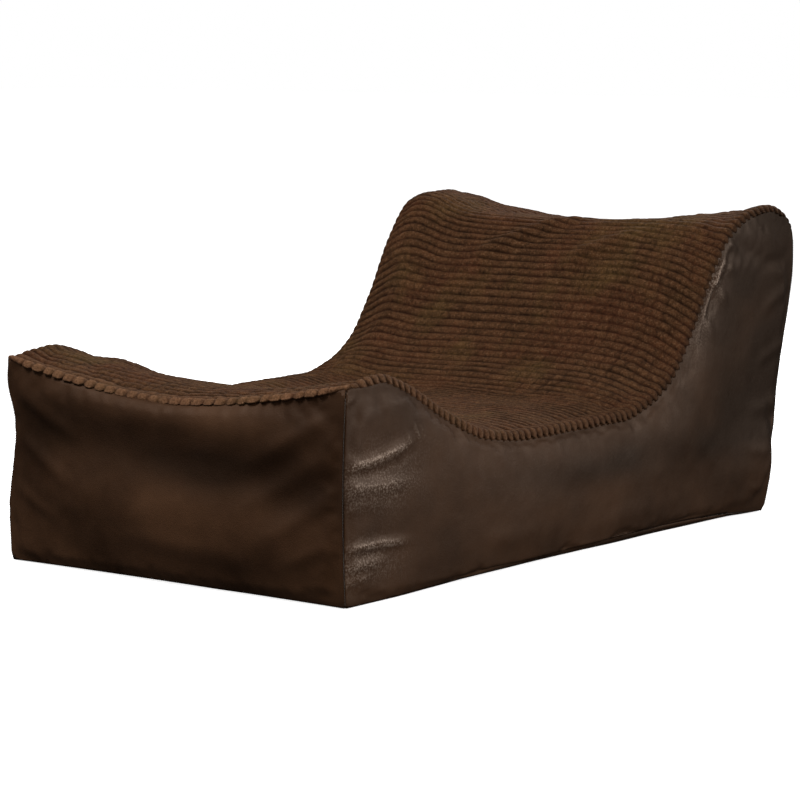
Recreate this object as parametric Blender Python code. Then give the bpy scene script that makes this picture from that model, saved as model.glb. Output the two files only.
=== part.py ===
"""Low lounger bean bag chair: a sewn, zipped cover round a zipped liner full of foam beads.

Metres, +Z up. The foot end faces -Y, the backrest is at +Y and the sitter's left is +X.
The origin is on the floor, under the middle of the object's box.

The whole bag is one mapping, bag_point(across, along, up), of a block: across runs from -1 (right
side) to 1 (left side), along from 0 (foot end) to 1 (rear) and up from 0 (base) to 1 (top seam).
Panels, liner and filling are slices of that block at different depths, so they nest.
"""

from collections import namedtuple

import bmesh
import bpy
import numpy as np

# The bag's outline, seen from the side. Distances run from the foot end's top seam.
SEAM_LENGTH = 1.258  # foot end to the seam at the top of the rear
ORIGIN_FROM_FOOT = 0.6275
TOP_SEAM = (  # (distance, height) of the seam between the top and the side panels
    (0.0, 0.330),
    (0.08, 0.335),
    (0.15, 0.312),
    (0.25, 0.260),
    (0.36, 0.219),
    (0.46, 0.209),
    (0.73, 0.211),
    (0.80, 0.227),
    (0.873, 0.268),
    (0.93, 0.338),
    (0.99, 0.434),
    (1.05, 0.503),
    (1.12, 0.534),
    (1.178, 0.541),
    (1.229, 0.527),
    (SEAM_LENGTH, 0.500),
)
TOP_CROWN = (  # (distance, height of the plumped middle over the seams)
    (0.0, 0.0),
    (0.10, 0.006),
    (0.24, 0.016),
    (0.70, 0.022),
    (0.82, 0.040),
    (0.93, 0.050),
    (1.03, 0.026),
    (1.12, 0.006),
    (SEAM_LENGTH, 0.0),
)
TOP_SAG = (  # (distance, how far the middle hangs below the corners at each end)
    (0.0, 0.046),
    (0.08, 0.044),
    (0.20, 0.018),
    (0.34, 0.0),
    (0.98, 0.0),
    (1.08, 0.020),
    (1.16, 0.038),
    (SEAM_LENGTH, 0.036),
)
REAR_EDGE = (  # (height, distance) of the rear side seams: upright by the zip, then leaning out
    (0.0, 1.180),
    (0.12, 1.180),
    (0.16, 1.198),
    (0.22, 1.217),
    (0.30, 1.238),
    (0.37, 1.256),
    (0.43, 1.266),
    (0.47, 1.265),
    (0.50, SEAM_LENGTH),
)
REAR_TOP = 0.50
REAR_BULGE = ((0.0, 0.0), (0.14, 0.0), (0.28, 0.018), (0.42, 0.014), (REAR_TOP, 0.004))
FOOT_TOP = 0.330
FOOT_BULGE = ((0.0, 0.0), (0.08, 0.016), (0.18, 0.019), (0.28, 0.008), (FOOT_TOP, 0.0))
FOOT_PINCH = (0.004, 0.012)  # the foot's upright seams pull in at mid-height: both, right over left
TOP_HALF_WIDTH = (  # (distance, half width at the top seams)
    (0.0, 0.348),
    (0.35, 0.344),
    (0.75, 0.346),
    (1.0, 0.352),
    (SEAM_LENGTH, 0.353),
)
BASE_HALF_WIDTH = 0.346
SIDE_BULGE = 0.018
SIDE_LIFT = 0.011  # how far the base's rim stands off the floor between the corners
END_LIFT = 0.006
LIFT_FADE = 0.10  # the share of the height over which that lift dies out
FLAT_ACROSS = 0.94  # the base lies flat between these
FLAT_ALONG = (0.03, 0.98)
CROWN_POWER = 5  # plump right up to the seams
SAG_POWER = 1.6  # but hanging in a soft V at the ends
BULGE_POWER = 2.4

# Grid lines of the block, shared by everything that nests
ACROSS_LINES = (-1.0, -FLAT_ACROSS, -0.8, -0.5, 0.0, 0.5, 0.8, FLAT_ACROSS, 1.0)
ALONG_LINES = (
    0.0, 0.03, 0.07, 0.12, 0.17, 0.23, 0.30, 0.40, 0.50, 0.58, 0.64,
    0.69, 0.73, 0.77, 0.81, 0.85, 0.89, 0.93, 0.96, 0.98, 1.0,
)  # fmt: skip

# Layers, as depths under the bag's outer surface
GAP = 0.0005
LEATHER = 0.002
PLUSH = 0.006
LINER = 0.001

# The zips, both across the rear at the same height. Their parts are measured from the tape's
# outer face, outwards positive, and from the zip's middle line.
ZIP_HEIGHT = 0.070
ZIP_OPENING = 0.017  # between the panels' hems
COVER_ZIP_HALF = 0.300
LINER_ZIP_HALF = 0.164
TAPE_HALF_HEIGHT = 0.014
TAPE = 0.0008
ZIP_SLOT = 0.0012  # between the two tapes and coils, for the slider's post
COIL_WIDTH = 0.0026
COIL_DEPTH = 0.0018
STOP_LENGTH = 0.004
STOP_PROUD = 0.0006  # over the coils
SLIDER_LENGTH = 0.011
SLIDER_NOSE = 0.0100
SLIDER_TAIL = 0.0078
SLIDER_CORNER = 0.0022
SLIDER_FRONT = (0.0025, 0.0037)
SLIDER_BACK = (-0.0022, -0.0012)
BACK_INSET = 0.0006
WELD = 0.0003  # how far joined pieces run into each other
RAIL = 0.00045
RAIL_INSET = 0.0018
POST = 0.0005
POST_LENGTH = 0.0024
POST_FROM_NOSE = 0.0008
BAIL_REACH = 0.0042
BAIL_BAR = 0.0009
BAIL_WIDTH = 0.0018
HINGE_OUT = 0.0053  # the pull's hinge axis
HINGE_BAR = 0.0008  # its radius
PULL_LENGTH = 0.027
PULL_WIDTH = 0.0080
PULL_NECK = 0.0060
PULL_DEPTH = 0.0012
PULL_WINDOW = (0.0008, 0.0070)
PULL_WINDOW_WIDTH = 0.0030
PULL_EYE = 0.0034
PULL_SHOULDER = 0.0040

Depths = namedtuple("Depths", "side foot rear base top")
LINER_OUT = Depths(side=0.004, foot=0.0045, rear=0.012, base=0.0045, top=0.0140)
FILL_OUT = Depths(side=0.008, foot=0.009, rear=0.024, base=0.0080, top=0.0190)

COLOURS = {  # red, green, blue, roughness, metallic
    "plush": (0.060, 0.026, 0.013, 0.95, 0.0),
    "leather": (0.026, 0.014, 0.009, 0.42, 0.0),
    "zip tape": (0.020, 0.012, 0.009, 0.9, 0.0),
    "zip nylon": (0.030, 0.018, 0.012, 0.45, 0.0),
    "zip metal": (0.28, 0.22, 0.15, 0.35, 1.0),
    "liner cloth": (0.62, 0.60, 0.56, 0.85, 0.0),
    "beads": (0.86, 0.86, 0.84, 0.7, 0.0),
}


def curve_through(points):
    """A smooth function through (place, value) points that never overshoots them."""
    places, values = np.array(points, float).T
    rises = np.diff(values) / np.diff(places)
    before, after = rises[:-1], rises[1:]
    same_way = before * after > 0
    between = np.where(same_way, 2 * before * after / np.where(same_way, before + after, 1.0), 0.0)
    slopes = np.concatenate([rises[:1], between, rises[-1:]])

    def value(at):
        at = np.clip(at, places[0], places[-1])
        i = np.clip(np.searchsorted(places, at) - 1, 0, len(places) - 2)
        step = places[i + 1] - places[i]
        t = (at - places[i]) / step
        rise = values[i + 1] - values[i]
        bend = (1 - t) * (slopes[i] * step - rise) - t * (slopes[i + 1] * step - rise)
        return values[i] + t * rise + t * (1 - t) * bend

    return value


top_seam = curve_through(TOP_SEAM)
top_crown = curve_through(TOP_CROWN)
top_sag = curve_through(TOP_SAG)
rear_edge = curve_through(REAR_EDGE)
rear_bulge = curve_through(REAR_BULGE)
foot_bulge = curve_through(FOOT_BULGE)
top_half_width = curve_through(TOP_HALF_WIDTH)


def half_width(along, up):
    hump = np.sqrt(np.sin(np.pi * np.clip(along, 0, 1))) * 4 * up * (1 - up)
    return BASE_HALF_WIDTH * (1 - up) + top_half_width(along * SEAM_LENGTH) * up + SIDE_BULGE * hump


def rim_lift(across, along):
    """The base's height: flat in its middle, with its rim curling up between the corners."""
    side = max(0.0, (abs(across) - FLAT_ACROSS) / (1 - FLAT_ACROSS))
    foot = max(0.0, 1 - along / FLAT_ALONG[0])
    rear = max(0.0, (along - FLAT_ALONG[1]) / (1 - FLAT_ALONG[1]))
    sides = SIDE_LIFT * side**2 * np.sqrt(np.sin(np.pi * np.clip(along, 0, 1)))
    ends = END_LIFT * max(foot, rear) ** 2 * np.sqrt(np.cos(np.pi / 2 * np.clip(across, -1, 1)))
    return sides + ends


def top_rise(across, along):
    """How far the top stands over its seams, or hangs below them."""
    distance = along * SEAM_LENGTH
    crown = top_crown(distance) * (1 - abs(across) ** CROWN_POWER)
    return crown - top_sag(distance) * (1 - abs(across) ** SAG_POWER)


def bag_point(across, along, up):
    pillow = 1 - abs(across) ** BULGE_POWER
    pinch = (FOOT_PINCH[0] - FOOT_PINCH[1] * across) * 4 * up * (1 - up) * (1 - pillow)
    foot = pinch - foot_bulge(up * FOOT_TOP) * pillow
    rear = rear_edge(up * REAR_TOP) + rear_bulge(up * REAR_TOP) * pillow
    lift = rim_lift(across, along) * max(0.0, 1 - up / LIFT_FADE) ** 2
    return (
        across * half_width(along, up),
        (1 - along) * foot + along * rear - ORIGIN_FROM_FOOT,
        lift + up * top_seam(along * SEAM_LENGTH) + up**3 * top_rise(across, along),
    )


def point_inside(across, along, up, depths):
    """A bag point, kept at least these depths under each of the bag's six surfaces."""
    side = 1 - depths.side / half_width(along, up)
    height = top_seam(along * SEAM_LENGTH)
    return bag_point(
        float(np.clip(across, -side, side)),
        float(np.clip(along, depths.foot / SEAM_LENGTH, 1 - depths.rear / SEAM_LENGTH)),
        float(np.clip(up, depths.base / height, 1 - depths.top / height)),
    )


def depths_of(face, depth):
    """One panel's layer: its own face at depth, and its edges mitred at a gap from its neighbours."""
    around = dict.fromkeys(Depths._fields, depth + GAP)
    around[face] = depth
    return Depths(**around)


def material(name):
    found = bpy.data.materials.get(name)
    if found:
        return found
    made = bpy.data.materials.new(name)
    made.use_nodes = True
    shader = made.node_tree.nodes["Principled BSDF"]
    *colour, roughness, metallic = COLOURS[name]
    shader.inputs["Base Color"].default_value = (*colour, 1.0)
    shader.inputs["Roughness"].default_value = roughness
    shader.inputs["Metallic"].default_value = metallic
    return made


def new_object(name, points, faces, finish, at=(0.0, 0.0, 0.0)):
    """A closed mesh with its faces turned outwards, at its place under the chair's empty."""
    mesh = bpy.data.meshes.new(name)
    mesh.from_pydata([tuple(map(float, p)) for p in points], [], faces)
    shape = bmesh.new()
    shape.from_mesh(mesh)
    bmesh.ops.recalc_face_normals(shape, faces=shape.faces)
    shape.to_mesh(mesh)
    shape.free()
    mesh.materials.append(material(finish))
    made = bpy.data.objects.new(name, mesh)
    bpy.context.collection.objects.link(made)
    made.location = at
    return made


def sheet_faces(columns, rows, start=0):
    """Triangles of a grid of points, row by row, every cell cut along the same diagonal."""
    faces = []
    for row in range(rows - 1):
        for column in range(columns - 1):
            a = start + row * columns + column
            b, c, d = a + 1, a + columns + 1, a + columns
            faces += [(a, b, c), (a, c, d)]
    return faces


def rim_of(columns, rows):
    """The grid's border points, in order round it."""
    bottom = list(range(columns))
    right = [row * columns + columns - 1 for row in range(1, rows)]
    top = [(rows - 1) * columns + column for column in range(columns - 2, -1, -1)]
    left = [row * columns for row in range(rows - 2, 0, -1)]
    return bottom + right + top + left


def slab(name, face, thickness, finish, lines, place):
    """A thin panel on one face of the bag, its two layers joined round the rim."""
    first, second = lines
    columns, rows = len(first), len(second)
    points = []
    for depth in (0.0, thickness):
        depths = depths_of(face, depth)
        points += [point_inside(*place(u, v), depths) for v in second for u in first]
    count = columns * rows
    faces = sheet_faces(columns, rows) + sheet_faces(columns, rows, count)
    rim = rim_of(columns, rows)
    for a, b in zip(rim, rim[1:] + rim[:1]):
        faces += [(a, b, b + count), (a, b + count, a + count)]
    return new_object(name, points, faces, finish)


def up_lines():
    """Grid heights, with one line at each hem of the zip's opening."""
    low, high = ((ZIP_HEIGHT + side * ZIP_OPENING / 2) / REAR_TOP for side in (-1, 1))
    return (0.0, low, high, 0.27, 0.48, 0.76, 1.0)


def cover_panels():
    ups = up_lines()
    wide, long = ACROSS_LINES, ALONG_LINES
    slab("top_panel", "top", PLUSH, "plush", (wide, long), lambda u, v: (u, v, 1.0))
    slab("base_panel", "base", LEATHER, "leather", (wide, long), lambda u, v: (u, v, 0.0))
    slab("front_panel", "foot", LEATHER, "leather", (wide, ups), lambda u, v: (u, 0.0, v))
    slab("left_side_panel", "side", LEATHER, "leather", (long, ups), lambda u, v: (1.0, u, v))
    slab("right_side_panel", "side", LEATHER, "leather", (long, ups), lambda u, v: (-1.0, u, v))
    for name, heights in (("rear_lower_panel", ups[:2]), ("rear_upper_panel", ups[2:])):
        slab(name, "rear", LEATHER, "leather", (wide, heights), lambda u, v: (u, 1.0, v))


def shell_sheets(slot):
    """The six faces of the block as (lines, place, holes): the rear one may have the zip's slot."""
    wide, long, ups = ACROSS_LINES, ALONG_LINES, up_lines()
    middle = [i for i, u in enumerate(wide[:-1]) if slot and abs(u + wide[i + 1]) < 1.0]
    return (
        ((wide, long), lambda u, v: (u, v, 1.0), ()),
        ((wide, long), lambda u, v: (u, v, 0.0), ()),
        ((long, ups), lambda u, v: (1.0, u, v), ()),
        ((long, ups), lambda u, v: (-1.0, u, v), ()),
        ((wide, ups), lambda u, v: (u, 0.0, v), ()),
        ((wide, ups), lambda u, v: (u, 1.0, v), [(1, i) for i in middle]),
    )


def closed_layer(depths, slot=False):
    """Points, triangles and slot border of one closed layer round the whole bag."""
    index, points, faces, border = {}, [], [], set()

    def point(spot):
        if spot not in index:
            index[spot] = len(points)
            points.append(point_inside(*spot, depths))
        return index[spot]

    for (first, second), place, holes in shell_sheets(slot):
        for row in range(len(second) - 1):
            for column in range(len(first) - 1):
                spots = [
                    place(first[column + i], second[row + j])
                    for i, j in ((0, 0), (1, 0), (1, 1), (0, 1))
                ]
                a, b, c, d = map(point, spots)
                if (row, column) in holes:
                    for edge in ((a, b), (b, c), (c, d), (d, a)):
                        border ^= {tuple(sorted(edge))}
                else:
                    faces += [(a, b, c), (a, c, d)]
    return points, faces, border


def inner_liner():
    """The beads' own bag: two layers of one skin, joined round its zip's slot."""
    inner = Depths(*(depth + LINER for depth in LINER_OUT))
    points, faces, border = closed_layer(LINER_OUT, slot=True)
    more, back, _ = closed_layer(inner, slot=True)
    count = len(points)
    faces = faces + [tuple(i + count for i in face) for face in back]
    for a, b in sorted(border):
        faces += [(a, b, b + count), (a, b + count, a + count)]
    return new_object("inner_liner", points + more, faces, "liner cloth")


def bead_fill():
    points, faces, _ = closed_layer(FILL_OUT)
    return new_object("bead_fill", points, faces, "beads")


def prism(name, axes, outline, low, high, finish, at):
    """An outline in two axes, extruded along the third: "yzx" is a (y, z) outline along X."""
    order = [axes.index(axis) for axis in "xyz"]
    corners = [(*spot, depth) for depth in (low, high) for spot in outline]
    points = [[corner[i] for i in order] for corner in corners]
    count = len(outline)
    faces = [tuple(range(count)), tuple(range(2 * count - 1, count - 1, -1))]
    faces += [(i, (i + 1) % count, (i + 1) % count + count, i + count) for i in range(count)]
    return new_object(name, points, faces, finish, at)


def round_outline(centre, radius, sides):
    turns = np.linspace(0, 2 * np.pi, sides, endpoint=False)
    return [(centre + radius * np.cos(turn), radius * np.sin(turn)) for turn in turns]


def rectangle(low, high, bottom, top):
    return ((low, bottom), (high, bottom), (high, top), (low, top))


def chamfered(low, high, bottom, top, cut):
    return (
        (low + cut, bottom), (high - cut, bottom), (high, bottom + cut), (high, top - cut),
        (high - cut, top), (low + cut, top), (low, top - cut), (low, bottom + cut),
    )  # fmt: skip


def combine(target, other, operation):
    """A Boolean that keeps its helper as a wire guide."""
    change = target.modifiers.new(operation.lower(), "BOOLEAN")
    change.operation = operation
    change.solver = "EXACT"
    change.object = other
    other.hide_render = True
    other.display_type = "WIRE"
    other.parent = target
    other.matrix_parent_inverse = target.matrix_basis.inverted()


def zip_tapes(prefix, half, tape_y, tape_half):
    for name, side in (("lower", -1), ("upper", 1)):
        edges = sorted((side * ZIP_SLOT / 2, side * tape_half))
        tape = rectangle(-TAPE, 0.0, *edges)
        at = (0, tape_y, ZIP_HEIGHT)
        prism(f"{prefix}zip_tape_{name}", "yzx", tape, -half, half, "zip tape", at)


def zip_coils(prefix, half, tape_y):
    """One nylon coil on each tape's edge, drawn as the bar that it fills."""
    outer = ZIP_SLOT / 2 + COIL_WIDTH
    for name, side in (("lower", -1), ("upper", 1)):
        edges = sorted((side * ZIP_SLOT / 2, side * outer))
        coil = chamfered(GAP, GAP + COIL_DEPTH, *edges, COIL_DEPTH / 4)
        at = (0, tape_y, ZIP_HEIGHT)
        prism(f"{prefix}zip_coil_{name}", "yzx", coil, -half, half, "zip nylon", at)


def zip_stops(prefix, half, tape_y):
    """Two top stops, one past the end of each coil, and one bottom stop across both."""
    at = (0, tape_y, ZIP_HEIGHT)
    reach = ZIP_SLOT / 2 + COIL_WIDTH
    ends = (half + GAP, half + GAP + STOP_LENGTH)
    low, high = GAP, GAP + COIL_DEPTH + STOP_PROUD
    for name, side in (("lower", -1), ("upper", 1)):
        edges = sorted((side * ZIP_SLOT / 4, side * reach))
        shape = chamfered(low, high, *edges, COIL_DEPTH / 4)
        prism(f"{prefix}zip_top_stop_{name}", "yzx", shape, *ends, "zip metal", at)
    shape = chamfered(low, high, -reach, reach, COIL_DEPTH / 4)
    prism(f"{prefix}zip_bottom_stop", "yzx", shape, -ends[1], -ends[0], "zip metal", at)


def slider_plan(inset=0.0):
    """The slider's plates: wide at the nose, narrower at the tail, corners cut."""
    half, corner = SLIDER_LENGTH / 2 - inset, SLIDER_CORNER
    nose, tail = SLIDER_NOSE / 2 - inset, SLIDER_TAIL / 2 - inset
    upper = (
        (-half, tail - corner / 2), (-half + corner / 2, tail), (0.0, tail),
        (half - corner, nose), (half, nose - corner),
    )  # fmt: skip
    return upper + tuple((x, -z) for x, z in reversed(upper))


def slider_home(half):
    return half - SLIDER_LENGTH / 2 - GAP


def slider_bail(name, at):
    """The bridge that the pull's end bar turns under."""
    foot = SLIDER_FRONT[1] - WELD
    top = HINGE_OUT + HINGE_BAR + GAP + BAIL_BAR
    reach, inner, shoulder = BAIL_REACH, BAIL_REACH - BAIL_BAR, BAIL_REACH - BAIL_BAR
    outline = (
        (-reach, foot), (-reach, top - BAIL_BAR), (-shoulder, top), (shoulder, top),
        (reach, top - BAIL_BAR), (reach, foot), (inner, foot), (inner, top - BAIL_BAR),
        (-inner, top - BAIL_BAR), (-inner, foot),
    )  # fmt: skip
    return prism(name, "xyz", outline, -BAIL_WIDTH / 2, BAIL_WIDTH / 2, "zip metal", at)


def zip_slider(prefix, half, tape_y, bail):
    """Two plates round the coils, joined by the post between the tapes, with rails on the front."""
    name = f"{prefix}zip_slider"
    at = (slider_home(half), tape_y, ZIP_HEIGHT)
    front, back = SLIDER_FRONT, SLIDER_BACK
    body = prism(name, "xzy", slider_plan(), *front, "zip metal", at)
    plan = slider_plan(BACK_INSET)
    others = [prism(f"{name}_back", "xzy", plan, *back, "zip metal", at)]
    end = SLIDER_LENGTH / 2 - POST_FROM_NOSE
    plan = rectangle(end - POST_LENGTH, end, -POST / 2, POST / 2)
    span = (back[0] + WELD, front[1] - WELD)
    others.append(prism(f"{name}_post", "xzy", plan, *span, "zip metal", at))
    inner = ZIP_SLOT / 2 + COIL_WIDTH + 2 * GAP
    reach = SLIDER_LENGTH / 2 - RAIL_INSET
    for label, side in (("lower", -1), ("upper", 1)):
        plan = rectangle(-reach, reach, *sorted((side * inner, side * (inner + RAIL))))
        span = (2 * GAP, front[1] - WELD)
        others.append(prism(f"{name}_{label}_rail", "xzy", plan, *span, "zip metal", at))
    if bail:
        others.append(slider_bail(f"{name}_bail", at))
    for other in others:
        combine(body, other, "UNION")
    return body


def zip_pull(half, tape_y):
    """A flat tab whose round end bar turns under the slider's bail. It lies along the coils."""
    at = (slider_home(half), tape_y + HINGE_OUT, ZIP_HEIGHT)
    neck, wide = PULL_NECK / 2, PULL_WIDTH / 2
    shoulder = PULL_WINDOW[1] + PULL_SHOULDER
    angles = np.linspace(np.pi / 2, -np.pi / 2, 9)
    end = PULL_LENGTH - wide
    tip = [(-end - wide * np.cos(turn), wide * np.sin(turn)) for turn in angles]
    outline = [(0.0, -neck), (0.0, neck), (-PULL_WINDOW[1], neck), (-shoulder, wide)]
    outline += tip + [(-shoulder, -wide), (-PULL_WINDOW[1], -neck)]
    thick = (-PULL_DEPTH / 2, PULL_DEPTH / 2)
    tab = prism("zip_pull", "xzy", outline, *thick, "zip metal", at)
    gap = PULL_WINDOW_WIDTH / 2
    plan = rectangle(-PULL_WINDOW[1], -PULL_WINDOW[0], -gap, gap)
    through = (-PULL_DEPTH, PULL_DEPTH)
    window = prism("zip_pull_window", "xzy", plan, *through, "zip metal", at)
    ring = round_outline(-end, PULL_EYE / 2, 12)
    eye = prism("zip_pull_eye", "xzy", ring, *through, "zip metal", at)
    rod = round_outline(0.0, HINGE_BAR, 16)
    rod = prism("zip_pull_bar", "xyz", rod, -neck, neck, "zip metal", at)
    combine(tab, window, "DIFFERENCE")
    combine(tab, eye, "DIFFERENCE")
    combine(tab, rod, "UNION")
    return tab


def cover_zip():
    tape_y = rear_edge(ZIP_HEIGHT) - ORIGIN_FROM_FOOT - LEATHER - GAP
    half = COVER_ZIP_HALF
    zip_tapes("", half + 0.025, tape_y, TAPE_HALF_HEIGHT)
    zip_coils("", half, tape_y)
    zip_stops("", half, tape_y)
    slider = zip_slider("", half, tape_y, bail=True)
    pull = zip_pull(half, tape_y)
    return slider, pull


def liner_zip():
    """The liner's own shorter zip, with no pull, so that a child can't open it."""
    tape_y = rear_edge(ZIP_HEIGHT) - ORIGIN_FROM_FOOT - LINER_OUT.rear - LINER - GAP
    half = LINER_ZIP_HALF
    zip_tapes("liner_", half + 0.006, tape_y, TAPE_HALF_HEIGHT)
    zip_coils("liner_", half, tape_y)
    zip_stops("liner_", half, tape_y)
    return zip_slider("liner_", half, tape_y, bail=False)


def main():
    for old in list(bpy.data.objects):
        bpy.data.objects.remove(old, do_unlink=True)
    cover_panels()
    inner_liner()
    bead_fill()
    liner_zip()
    slider, pull = cover_zip()
    chair = bpy.data.objects.new("bean_bag_chair", None)
    bpy.context.collection.objects.link(chair)
    for piece in list(bpy.data.objects):
        if piece is not chair and piece is not pull and piece.parent is None:
            piece.parent = chair
    pull.parent = slider
    pull.matrix_parent_inverse = slider.matrix_basis.inverted()


main()
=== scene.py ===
"""Looks of the low lounger bean bag chair: plush corduroy top, faux leather cover, zips and filling.

The soft panels are fine meshes on the same block mapping as the CAD shape, in the same frame:
across runs from -1 (right side) to 1 (left side), along from 0 (foot end) to 1 (rear) and up from
0 (base) to 1 (top seam). Wrinkles come from a cloth simulation of the whole skin and from folds
laid out one by one.
"""

import itertools

import bpy
import numpy as np
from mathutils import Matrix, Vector


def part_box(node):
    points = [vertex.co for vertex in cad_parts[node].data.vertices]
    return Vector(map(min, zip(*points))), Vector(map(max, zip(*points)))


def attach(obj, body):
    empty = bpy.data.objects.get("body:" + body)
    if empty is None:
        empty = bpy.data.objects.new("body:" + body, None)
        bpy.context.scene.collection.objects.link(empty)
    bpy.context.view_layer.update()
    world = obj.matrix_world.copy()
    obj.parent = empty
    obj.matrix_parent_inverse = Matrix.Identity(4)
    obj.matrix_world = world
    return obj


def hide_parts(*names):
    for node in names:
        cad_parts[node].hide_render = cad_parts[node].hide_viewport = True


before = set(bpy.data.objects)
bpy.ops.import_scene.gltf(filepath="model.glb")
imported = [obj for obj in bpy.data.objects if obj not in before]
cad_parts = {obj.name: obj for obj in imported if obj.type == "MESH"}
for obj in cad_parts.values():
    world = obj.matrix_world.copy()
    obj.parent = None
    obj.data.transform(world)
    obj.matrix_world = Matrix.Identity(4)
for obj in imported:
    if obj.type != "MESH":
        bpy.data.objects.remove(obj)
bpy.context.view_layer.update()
SCENE = bpy.context.scene


def curve_through(points):
    """A smooth function through (place, value) points that never overshoots them."""
    places, values = np.array(points, float).T
    rises = np.diff(values) / np.diff(places)
    before, after = rises[:-1], rises[1:]
    same_way = before * after > 0
    between = np.where(same_way, 2 * before * after / np.where(same_way, before + after, 1.0), 0.0)
    slopes = np.concatenate([rises[:1], between, rises[-1:]])

    def value(at):
        at = np.clip(at, places[0], places[-1])
        i = np.clip(np.searchsorted(places, at) - 1, 0, len(places) - 2)
        step = places[i + 1] - places[i]
        t = (at - places[i]) / step
        rise = values[i + 1] - values[i]
        bend = (1 - t) * (slopes[i] * step - rise) - t * (slopes[i + 1] * step - rise)
        return values[i] + t * rise + t * (1 - t) * bend

    return value


# The bag's outline, as in the CAD. Distances run from the foot end's top seam.
SEAM_LENGTH = 1.258
ORIGIN_FROM_FOOT = 0.6275
REAR_TOP = 0.5
FOOT_TOP = 0.33
top_seam = curve_through((
    (0, 0.33), (0.08, 0.335), (0.15, 0.312), (0.25, 0.26), (0.36, 0.219), (0.46, 0.209),
    (0.73, 0.211), (0.8, 0.227), (0.873, 0.268), (0.93, 0.338), (0.99, 0.434), (1.05, 0.503),
    (1.12, 0.534), (1.178, 0.541), (1.229, 0.527), (SEAM_LENGTH, 0.5),
))
top_crown = curve_through((
    (0, 0), (0.1, 0.006), (0.24, 0.016), (0.7, 0.022), (0.82, 0.04), (0.93, 0.05),
    (1.03, 0.026), (1.12, 0.006), (SEAM_LENGTH, 0),
))
top_sag = curve_through((
    (0, 0.046), (0.08, 0.044), (0.2, 0.018), (0.34, 0), (0.98, 0), (1.08, 0.02),
    (1.16, 0.038), (SEAM_LENGTH, 0.036),
))
rear_edge = curve_through((
    (0, 1.18), (0.12, 1.18), (0.16, 1.198), (0.22, 1.217), (0.3, 1.238), (0.37, 1.256),
    (0.43, 1.266), (0.47, 1.265), (REAR_TOP, SEAM_LENGTH),
))
rear_bulge = curve_through(((0, 0), (0.14, 0), (0.28, 0.018), (0.42, 0.014), (REAR_TOP, 0.004)))
foot_bulge = curve_through(((0, 0), (0.08, 0.016), (0.18, 0.019), (0.28, 0.008), (FOOT_TOP, 0)))
FOOT_PINCH = (0.004, 0.012)
top_half_width = curve_through((
    (0, 0.348), (0.35, 0.344), (0.75, 0.346), (1.0, 0.352), (SEAM_LENGTH, 0.353),
))
BASE_HALF_WIDTH = 0.346
SIDE_BULGE = 0.018
SIDE_LIFT = 0.011
END_LIFT = 0.0015
LIFT_FADE = 0.1
FLAT_ACROSS = 0.94
FLAT_ALONG = (0.03, 0.98)
CROWN_POWER = 5
SAG_POWER = 1.6
BULGE_POWER = 2.4

# What the fabric does on that shape, in metres
TUCK = 0.003  # the walls turn under at the floor
TUCK_HEIGHT = 0.02
far_ridge = curve_through((  # (distance, how far the far side's plush stands up)
    (0, 0), (0.06, -0.003), (0.15, 0.01), (0.27, 0.024), (0.45, 0.02), (0.66, 0.021),
    (0.82, 0.021), (0.93, 0.029), (1.01, 0.042), (1.06, 0.033), (1.13, 0.013), (1.258, 0),
))
near_lift = curve_through((  # (distance, height of the near side's bottom edge)
    (0, 0), (0.12, 0), (0.22, 0.002), (0.4, 0.013), (0.6, 0.019), (0.75, 0.021),
    (0.95, 0.02), (1.1, 0.013), (1.2, 0.003), (1.258, 0),
))
REAR_SLACK = 0.006  # the backrest's top edge hangs a little further between its corners
FLARE = 0.018  # the walls swell low down beside the upright seams
FLARE_HEIGHT = (0.095, 0.085)
FLARE_ALONG = 0.16
EAR = 0.012  # and high up at the foot end's far corner
EAR_HEIGHT = (0.285, 0.04)

# Seams
SEAM_GAP = 0.0005  # between the two edges
END_EDGE = 1 - SEAM_GAP / BASE_HALF_WIDTH  # where the end and base panels stop, across
SEAM_PULL = 0.0035  # the seams' depth
SEAM_REACH = 0.0055
LIP = 0.001  # the folded edge beside each seam
LIP_AT = 0.0045
LEATHER = 0.002
PANEL_INSET = 0.004  # how far a panel's inner face stops short of its edge
PLUSH = 0.006
WIDTH = 0.7

# Corduroy
WALE = 0.016
WALE_ROWS = 6
WALE_HEIGHT = 0.0032
TUFT = 0.022
TUFT_COLUMNS = 4
ROLL_WIDTH = 0.034  # the plush's edge: a soft roll that rests on the leather
ROLL_RADIUS = 0.006
ROLL_IN = 0.0065
roll_rise = curve_through((  # (distance, height over the seam)
    (0, 0.003), (0.06, 0.006), (0.14, 0.009), (0.7, 0.009), (0.84, 0.006), (1.0, 0.003),
    (1.2, 0.002), (1.258, 0.001),
))
END_RISE = 0.002
ROLL_TURN = np.radians(115)

# Zip, as in the CAD
ZIP_HEIGHT = 0.07
ZIP_OPENING = 0.017
ZIP_SLOT = 0.0012
ZIP_SPAN = 0.312  # the opening closes past this
LINER_SLOT = 0.486  # the liner's opening reaches this part of the way to the sides
COIL_WIDTH = 0.0026
COIL_DEPTH = 0.0018
COIL_GAP = 0.0005
COIL_PITCH = 0.0017
COIL_WIRE = 0.0003
COIL_PARTS = 10  # in each turn
AROUND = [(np.cos(a), np.sin(a)) for a in 2 * np.pi * np.arange(4) / 4]  # round a wire or thread
WORN_EDGE = 0.00015

# Lockstitches
STITCH_PITCH = 0.0042
STITCH = 0.0031
THREAD_RADIUS = 0.00035
THREAD_DEPTH = SEAM_PULL - 0.0006  # in a seam
HEM_DEPTH = -0.00025  # beside the zip

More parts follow.
